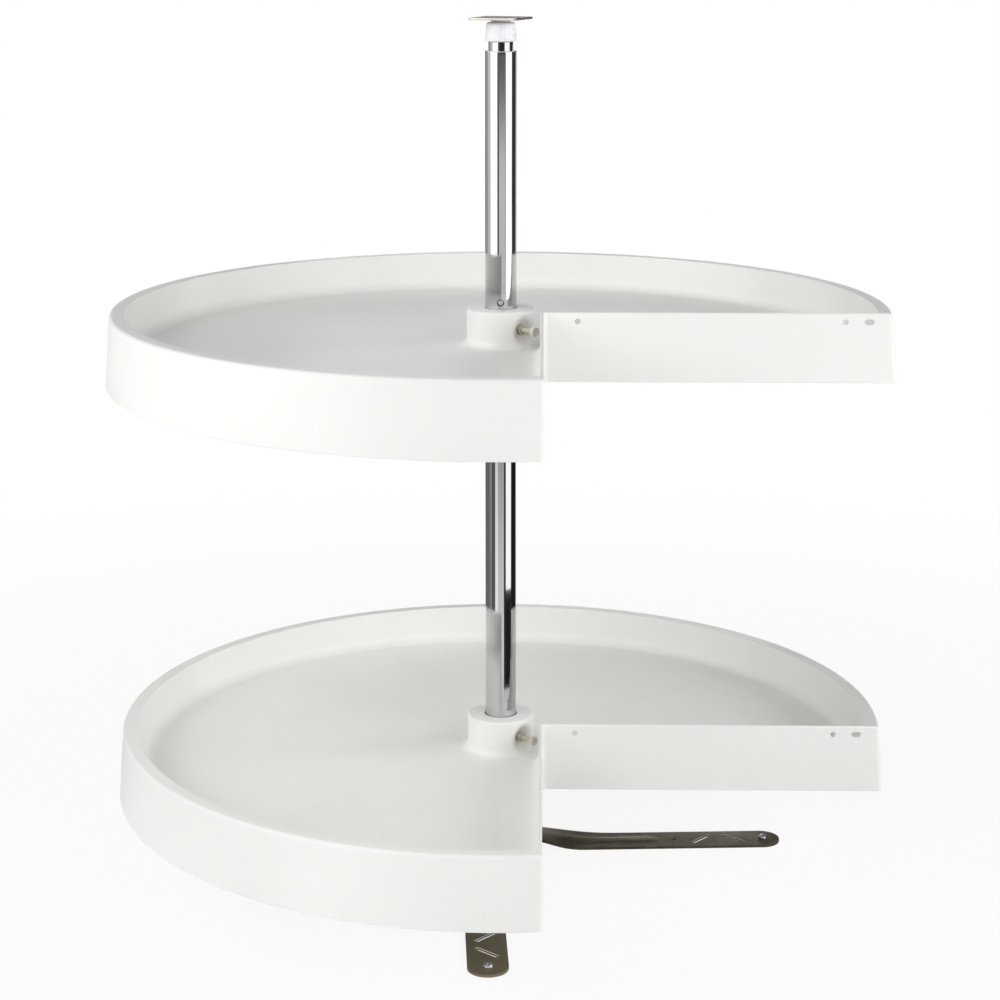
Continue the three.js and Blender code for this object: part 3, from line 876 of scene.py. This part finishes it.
post = dict(radius=14, wall=1.5, innerRadius=11, innerWall=1.2, lip=0.65, screwGap=0.3, steps=128)
lock = dict(
    footGap=0.3,  # to the inner tube
    radius=2.2, gap=0.9, aboveRim=4, proud=0.1, footRadius=1.2, pitch=0.7, threadDepth=0.18,
    edge=0.35, socketRadius=1.15, socketDepth=1.6, azimuth=-90,
)
wallSpan = (4, 20)  # what cuts the post's wall starts inside it and ends outside

radius, inner = post["radius"], post["radius"] - post["wall"]
outerTube = ringPiece("outerTube", "outer_tube", inner, radius, post["lip"], post["steps"])
lockHeight = rimHeights["upper"] + lock["aboveRim"]
screwHole = trayScrew["shank"] + post["screwGap"]
for radius, azimuth, height in (
    (lock["radius"] + lock["gap"], lock["azimuth"], lockHeight),
    (screwHole, notchAzimuth, rimHeights["lower"] - hub["screwDepth"]),
    (screwHole, notchAzimuth, rimHeights["upper"] - hub["screwDepth"]),
):
    cutter = rodPiece("cutter", radius, *wallSpan, 40)
    layRadially(cutter, azimuth, height)
    cut(outerTube, cutter)
finishPiece(outerTube, "carousel", "tube_chrome", "outer_tube")

radius, inner = post["innerRadius"], post["innerRadius"] - post["innerWall"]
innerTube = ringPiece("innerTube", "inner_tube", inner, radius, post["lip"], post["steps"])
finishPiece(innerTube, "extension", "tube_chrome", "inner_tube")


def lockScrewBody():
    s = lock
    foot, top = post["innerRadius"] + s["footGap"], post["radius"] + s["proud"]
    radius, edge = s["radius"], s["edge"]
    section = [(0, foot), (s["footRadius"], foot)]
    section += threadedSection(radius, foot + 0.5, top - 0.6, s["pitch"], s["threadDepth"])
    section += [(radius, top - edge, 0.2, 2), (radius - edge, top), (0, top)]
    screw = spinPiece("heightLockScrew", section, 48)
    socket = extrudePiece("socket", hexagonCorners(s["socketRadius"]), top - s["socketDepth"], top + 1)
    cut(screw, socket)
    return screw


lockScrew = lockScrewBody()
layRadially(lockScrew, lock["azimuth"], lockHeight)
finishPiece(lockScrew, "carousel", "lock_screw_steel", "height_lock_screw")

# node, body, and inner and outer radius
sleeves = dict(
    outerTubeGuide=("outer_tube_guide", "carousel", 11.3, 12.2),
    innerTubeGuide=("inner_tube_guide", "extension", 11.3, 12.2),
    baseThrustWasher=("base_thrust_washer", "base", 5.3, 13),
    topThrustWasher=("top_thrust_washer", "top_mount", 4.3, 8.5),
)
sleeveEdge = 0.4
for name, (node, body, inner, outer) in sleeves.items():
    sleeve = ringPiece(name, node, inner, outer, sleeveEdge, 96)
    finishPiece(sleeve, body, "washer_plastic", node)
print("post done")


# Bearing and spindle in the post's foot

bearing = dict(
    fromFoot=[(5.3, 0, 0.5, 2), (14, 0, 0.8, 4), (14, 3, 0.5, 3), (12.2, 3)],
    fromTop=[(12.2, -4), (11.2, 0, 0.5, 3), (5.3, 0, 0.5, 2)],
)
plug = turnedPiece("bottomBearing", "bottom_bearing", **bearing)
finishPiece(plug, "carousel", "bearing_plastic", "bottom_bearing")

spindle = dict(
    fromFoot=[(0, 0), (7.5, 0, 0.6, 3), (8.5, 1), (8.5, 2.6, 0.3, 2), (5, 2.6)],
    fromTop=[(5, -6), (4.6, -5.8), (4.6, -4.6), (5, -4.4), (5, -1.2, 0.3, 2), (3.8, 0, 0.3, 2), (0, 0)],
)
stud = turnedPiece("pivotSpindle", "pivot_spindle", **spindle)
finishPiece(stud, "base", "spindle_steel", "pivot_spindle")
print("bearing done")


# Bush, pin and plate at the top

bush = dict(
    bore=4.3, neck=9.5, radius=13.75, topRadius=12.9, topRound=2.9, height=16.5, edge=0.5,
    flutes=24, fluteDepth=0.28, fluteInside=12,  # only what lies farther out is fluted
)


def bushBody():
    b = bush
    low, high = heights("top_bush")
    foot, edge = high - b["height"], b["edge"]
    piece = spinPiece("topBush", [
        (b["bore"], low, edge, 2),
        (b["neck"], low, 0.8, 3),
        (b["neck"], foot),
        (b["radius"], foot, edge, 3),
        (b["radius"] - 0.05, foot + 1.4),
        (b["topRadius"] + 0.1, high - b["topRound"] - 0.9),
        (b["topRadius"], high, b["topRound"], 9),
        (b["bore"], high, edge, 2),
    ], b["flutes"] * 6)
    lowest, highest = foot + 1, high - b["topRound"] - 0.5
    for vertex in piece.data.vertices:
        height = vertex.co.z / milli
        flat = math.hypot(vertex.co.x, vertex.co.y)
        step = math.degrees(math.atan2(vertex.co.y, vertex.co.x)) * b["flutes"] / 360
        onFlute = abs(step - round(step)) < 0.1
        if onFlute and lowest < height < highest and flat > b["fluteInside"] * milli:
            vertex.co.xy *= 1 - b["fluteDepth"] * milli / flat
    return piece


finishPiece(bushBody(), "extension", "bush_plastic", "top_bush", angle=24)

topPin = dict(fromFoot=[(0, 0), (4, 0, 0.8, 4)], fromTop=[(4, -0.05), (3.4, 0), (0, 0)], steps=64)
pin = turnedPiece("topPivotPin", "top_pivot_pin", **topPin)
finishPiece(pin, "top_mount", "spindle_steel", "top_pivot_pin")

plate = dict(
    side=44, thickness=2, corner=2, holeSpacing=32, holeRadius=2.2,
    sink=1,  # of the holes' countersinks
    pinHole=4.3, edge=0.35, foldAngle=75, turn=-19.6,
)


def plateBody():
    p = plate
    top = heights("top_plate")[1]
    half, place = p["side"] / 2, p["holeSpacing"] / 2
    corners = [(x * half, y * half, p["corner"], 6) for x, y in square]
    piece = extrudePiece("topPlate", corners, top - p["thickness"], top)
    fold = math.radians(p["foldAngle"])
    with editing(piece):
        pick(piece, lambda edge: len(edge.link_faces) == 2 and edge.calc_face_angle() > fold, "edges")
        bpy.ops.mesh.bevel(offset=p["edge"] * milli, segments=3, affect="EDGES")
    hole, sunk = p["holeRadius"], p["holeRadius"] + p["sink"]
    for x, y in square:
        cutter = spinPiece("cutter", [
            (0, top - 4), (hole, top - 4), (hole, top - 1.1),
            (sunk, top - 0.1), (sunk, top + 1), (0, top + 1),
        ], 48)
        moveTo(cutter, x * place, y * place, 0)
        cut(piece, cutter)
    cut(piece, rodPiece("cutter", p["pinHole"], top - 4, top + 1, 64))
    turnTo(piece, p["turn"])
    return piece


finishPiece(plateBody(), "top_mount", "plate_nickel", "top_plate")
print("top done")


# Base bracket, a pressed strip with a raised pad, a bead, slots and holes

bracket = dict(
    thickness=2.5, legWidth=35, reach=265, setBack=20, cornerRound=12, turn=3.2,
    padRadius=37, padRise=9, padHole=5.3,
    rampTop=(35, 42),  # radius where the ramp leaves the pad, at the leg's near and far edge
    rampFoot=(82, 126), beadWidth=16, beadEnd=150, beadHeight=0.5, beadEdge=5,
    slotNear=190.5, slotFar=221.5, slotLength=27, slotWidth=4.5, markPlace=165.5,
    markRadius=1.5, screwInset=15, screwHole=2.6, arcShare=0.998,
    cell=2.5, sheetMargin=4,  # of the sheet that is pressed
    emptyFrom=45,  # there is no sheet past this in both directions
    edge=0.35, edgeAngle=62,
)
planSpan = (-1, 20)  # what is cut from the sheet starts below it and ends above it
cutterSpan = (-2, 22)


def smoothStep(value):
    value = min(max(value, 0), 1)
    return value * value * (3 - 2 * value)


def rampShape(value):
    # steep by the pad, with a long soft foot
    value = min(max(value, 0), 1)
    return value ** 3 * (3 - 2 * value)


def pressedRise(x, y):
    b = bracket
    along, across = (x, y - b["setBack"]) if x > -y else (-y, -x - b["setBack"])
    share = min(max(across / b["legWidth"] + 0.5, 0), 1)
    top, foot = (near + (far - near) * share for near, far in (b["rampTop"], b["rampFoot"]))
    ramp = rampShape((foot - math.hypot(x, y)) / (foot - top))
    end = max(along - (b["beadEnd"] - b["beadWidth"] / 2), 0)
    side = smoothStep((b["beadWidth"] / 2 - math.hypot(across, end)) / b["beadEdge"])
    return b["padRise"] * ramp + b["beadHeight"] * side * (1 - ramp)


def pressedSheet():
    b = bracket
    low, high = -b["setBack"] - b["legWidth"] / 2 - b["sheetMargin"], b["reach"] + b["sheetMargin"]
    size = high - low
    cells = round(size / b["cell"])
    deselectAll()
    bpy.ops.mesh.primitive_grid_add(x_subdivisions=cells, y_subdivisions=cells, size=size * milli)
    sheet = added("sheet")
    moveTo(sheet, (low + high) / 2, -(low + high) / 2, 0)
    limit = b["emptyFrom"] * milli
    empty = lambda centre: centre.x > limit and centre.y < -limit
    with editing(sheet):
        pick(sheet, lambda face: empty(face.calc_center_median()), "faces")
        bpy.ops.mesh.delete(type="FACE")
    for vertex in sheet.data.vertices:
        vertex.co.z = pressedRise(vertex.co.x / milli, vertex.co.y / milli) * milli
    with editing(sheet, "SELECT"):
        bpy.ops.mesh.extrude_region_move(TRANSFORM_OT_translate={"value": (0, 0, b["thickness"] * milli)})
    tidyMesh(sheet)
    return sheet


def legPlan():
    b = bracket
    near, far = b["setBack"] - b["legWidth"] / 2, b["setBack"] + b["legWidth"] / 2
    tip = b["legWidth"] / 2 * b["arcShare"]
    return extrudePiece("baseBracket", [
        (-far, near),
        (b["reach"], near, tip, 16),
        (b["reach"], far, tip, 16),
        (-far, far, b["cornerRound"], 8),
    ], *planSpan)


def legCutters():
    b = bracket
    half, length = b["slotWidth"] / 2, b["slotLength"] / 2
    made = []
    for place, turn in ((b["slotNear"], 45), (b["slotFar"], -45)):
        corners = [(x * length, y * half, half * b["arcShare"], 8) for x, y in square]
        slot = extrudePiece("slot", corners, *cutterSpan)
        turnTo(slot, turn)
        moveTo(slot, place, b["setBack"], 0)
        made.append(slot)
    for place, radius in ((b["markPlace"], b["markRadius"]), (b["reach"] - b["screwInset"], b["screwHole"])):
        hole = rodPiece("hole", radius, *cutterSpan)
        moveTo(hole, place, b["setBack"], 0)
        made.append(hole)
    return made


def bracketBody():
    b = bracket
    plan = legPlan()
    for cutter in legCutters():
        cut(plan, cutter)
    combine(plan, otherSide(plan, "otherLeg"), "UNION")
    combine(plan, rodPiece("pad", b["padRadius"], *planSpan, 128), "UNION")
    cut(plan, rodPiece("cutter", b["padHole"], *cutterSpan, 64))
    combine(plan, pressedSheet(), "INTERSECT")
    limit = math.radians(b["edgeAngle"])
    width = b["edge"] * milli
    addModifier(plan, "BEVEL", width=width, segments=2, limit_method="ANGLE", angle_limit=limit)
    turnTo(plan, b["turn"])
    return plan


finishPiece(bracketBody(), "base", "bracket_nickel", "base_bracket", angle=40)


# Cross-recessed screws in the bracket's leg tips

baseScrew = dict(
    headRadius=4.2, headHeight=2.6, shank=2, length=16, neck=1.5, pointRadius=0.3, pointLength=4,
    pitch=1.3, threadDepth=0.45, armLength=3.2, armWidth=1.5, armTaper=(0.45, 0.7, 1), recess=2.1,
    turn=22,
)


def baseScrewBody(name):
    s = baseScrew
    head, tall = s["headRadius"], s["headHeight"]
    foot = -s["length"]
    thread = threadedSection(s["shank"], foot + 0.6, -s["neck"], s["pitch"], s["threadDepth"])
    profile = [(0, foot), (s["pointRadius"], foot)] + [
        (radius * min((height - foot) / s["pointLength"], 1), height) for radius, height in thread
    ]
    profile += [
        (s["shank"], -0.4), (s["shank"], 0), (head, 0, 0.3, 2), (head, tall * 0.45, 1.3, 5),
        (head * 0.7, tall, 1.2, 4), (0, tall),
    ]
    piece = spinPiece(name, profile, 64)
    for turn in (0, 90):
        corners = [(x * s["armLength"], y * s["armWidth"] / 2) for x, y in square]
        arm = extrudePiece("arm", corners, tall - s["recess"], tall + 1)
        with editing(arm):
            pick(arm, lambda vertex: vertex.co.z < tall * milli)
            bpy.ops.transform.resize(value=s["armTaper"], center_override=(0, 0, 0))
        turnTo(arm, turn + s["turn"])
        cut(piece, arm)
    return piece


for side, node in (("Right", "base_screw_right"), ("Front", "base_screw_front")):
    low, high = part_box(node)
    piece = baseScrewBody("baseScrew" + side)
    centre = (low + high) / 2 / milli
    moveTo(piece, centre.x, centre.y, high.z / milli - baseScrew["headHeight"])
    finishPiece(piece, "base", "screw_steel", node)
print("base done")


# Floor, flags, lamps, world and camera

stage = dict(
    floorRadius=7, floorLight=colour(0.9, 0.9, 0.9), floorDark=colour(0.88, 0.88, 0.88),
    floorWhite=0.9,  # share of plain white that the camera sees by the object
    floorFade=(0.5, 1.6),  # from there to all white
    ambient=0.045,
    cardStrength=1.65,  # makes up for the chrome's reflectance, so that a card's grey is what shows
    aim=(0, 0, 0.35),  # of the lamps
)
white = colour(1, 1, 1)


def paleFloor():
    finish = Finish("paleFloor")
    x, y, z = finish.axes()
    camera = finish.node("LightPath", output="Is Camera Ray")
    glossy = finish.node("LightPath", output="Is Glossy Ray")
    tone = finish.mixColour(finish.noise(3, 2), stage["floorLight"], stage["floorDark"])
    lit = finish.node("BsdfDiffuse", inputs={"Color": tone})
    plain = finish.node("Emission", inputs={"Color": white, "Strength": 1.0})
    fade = ((x * x + y * y) ** 0.5).ramp(*stage["floorFade"])
    share = camera * (stage["floorWhite"] + fade * (1 - stage["floorWhite"])) + glossy * fade
    return finish.output(finish.node("MixShader", inputs={0: share, 1: lit, 2: plain}))


def flagCard(name, bottom, top, low, high):
    # a card whose grey changes from its foot to its top
    finish = Finish(name)
    level = finish.axes()[2].ramp(bottom, top)
    tone = finish.mixColour(level, colour(low, low, low), colour(high, high, high))
    return finish.output(finish.node("Emission", inputs={"Color": tone, "Strength": stage["cardStrength"]}))


deselectAll()
bpy.ops.mesh.primitive_circle_add(vertices=96, radius=stage["floorRadius"], fill_type="NGON")
floor = added("floor")
floor.data.materials.append(paleFloor())

# Curved cards that only metal and gloss see, as a studio's flags: both ends' azimuths,
# (radius, height) of the foot and of the top, and the grey at the foot and at the top
tall = ((0.95, 0.33), (0.95, 1.2))
short = ((0.5, 0), (0.5, 0.41))
flags = dict(
    backLeftHigh=(107, 137, *tall, 0.13, 0.11),
    sideLeftHigh=(137, 164, *tall, 0.29, 0.22),
    leftHigh=(164, 191, *tall, 0.44, 0.53),
    whiteLeftHigh=(191, 244, *tall, 1.0, 1.0),
    edgeHigh=(-116, -102, *tall, 0.09, 0.08),
    frontHigh=(-102, -58, (0.95, 0.33), (0.95, 0.52), 0.43, 0.45),
    frontUpper=(-102, -58, (0.95, 0.52), (0.95, 0.69), 0.45, 0.1),
    frontTop=(-102, -58, (0.95, 0.69), (0.95, 1.2), 0.02, 0.02),
    frontRightHigh=(-58, -52, *tall, 0.30, 0.06),
    whiteRightHigh=(-52, -3, *tall, 1.0, 1.0),
    rightHigh=(-3, 45, *tall, 0.03, 0.03),
    backHigh=(45, 91, (0.95, 0.33), (0.95, 0.7), 0.44, 0.44),
    backRightTop=(40, 64, (0.94, 0.7), (0.94, 1.3), 0.045, 0.045),
    backTop=(64, 107, (0.95, 0.77), (0.95, 1.3), 0.14, 0.11),
    backLow=(91, 180, *short, 0.115, 0.105),
    leftLow=(180, 200, *short, 0.18, 0.22),
    leftInnerLow=(200, 229, *short, 0.085, 0.075),
    frontLeftLow=(-131, -110, *short, 0.80, 0.50),
    frontLow=(-110, -66, *short, 0.57, 0.18),
    edgeLow=(-66, -52, *short, 0.025, 0.025),
    whiteLow=(-52, -9, (0.5, 0.117), (0.5, 0.41), 0.9, 0.9),
    rightLow=(-9, 55, *short, 0.012, 0.009),
    notchFloor=(-52, -9, (0.5, 0.001), (0.9, 0.001), 0.012, 0.012),
)
for name, (start, end, foot, top, low, high) in flags.items():
    ends = [(radius / milli, 0, height / milli) for radius, height in (foot, top)]
    flag = drawWire(name, ends, closed=False)
    turnTo(flag, start)
    with editing(flag, "SELECT"):
        bpy.ops.mesh.spin(steps=24, angle=math.radians(start - end), center=(0, 0, 0), axis=(0, 0, 1))
    flag.data.materials.append(flagCard(name, foot[1], top[1] + 0.0001, low, high))
    for ray in ("camera", "diffuse", "transmission", "volume_scatter", "shadow"):
        setattr(flag, "visible_" + ray, False)

lamps = dict(
    key=dict(place=(-1.3, -1.9, 1.8), size=2.0, power=25),
    left=dict(place=(-2.2, -0.6, 1.2), size=2.2, power=31.4),
    leftTop=dict(place=(-1.6, 0.2, 2.2), size=2.0, power=7),
    front=dict(place=(1.6, -2.0, 1.2), size=1.8, power=28.5),
    right=dict(place=(2.2, -0.2, 0.9), size=1.4, power=23),
    rear=dict(place=(0, 2.6, 1.4), size=2.2, power=10),
)
for name, lamp in lamps.items():
    bpy.ops.object.light_add(type="AREA", location=lamp["place"])
    made = added(name + "Lamp")
    made.data.size = lamp["size"]
    made.data.energy = lamp["power"]
    aim = Vector(stage["aim"]) - Vector(lamp["place"])
    made.rotation_euler = aim.to_track_quat("-Z", "Y").to_euler()

studio = Finish("studio", "worlds")
seen = studio.node("LightPath", output="Is Camera Ray")
seen = seen.maths("MAXIMUM", studio.node("LightPath", output="Is Glossy Ray"))
strength = studio.node("MapRange", inputs={"Value": seen, "To Min": stage["ambient"], "To Max": 1.0})
background = studio.node("Background", inputs={"Color": white, "Strength": strength})
bpy.context.scene.world = studio.output(background, "World")

view = dict(place=(0.0378, -2.0634, 0.8584), pitch=11.892, yaw=1.071, lens=84.313, shift=-0.09)
bpy.ops.object.camera_add(location=view["place"])
camera = added("camera")
camera.rotation_euler = (math.radians(90 - view["pitch"]), 0, math.radians(view["yaw"]))
camera.data.lens = view["lens"]
camera.data.sensor_width = 36
camera.data.shift_y = view["shift"]
bpy.context.scene.camera = camera
bpy.context.scene.view_settings.view_transform = "Standard"
print("stage done")
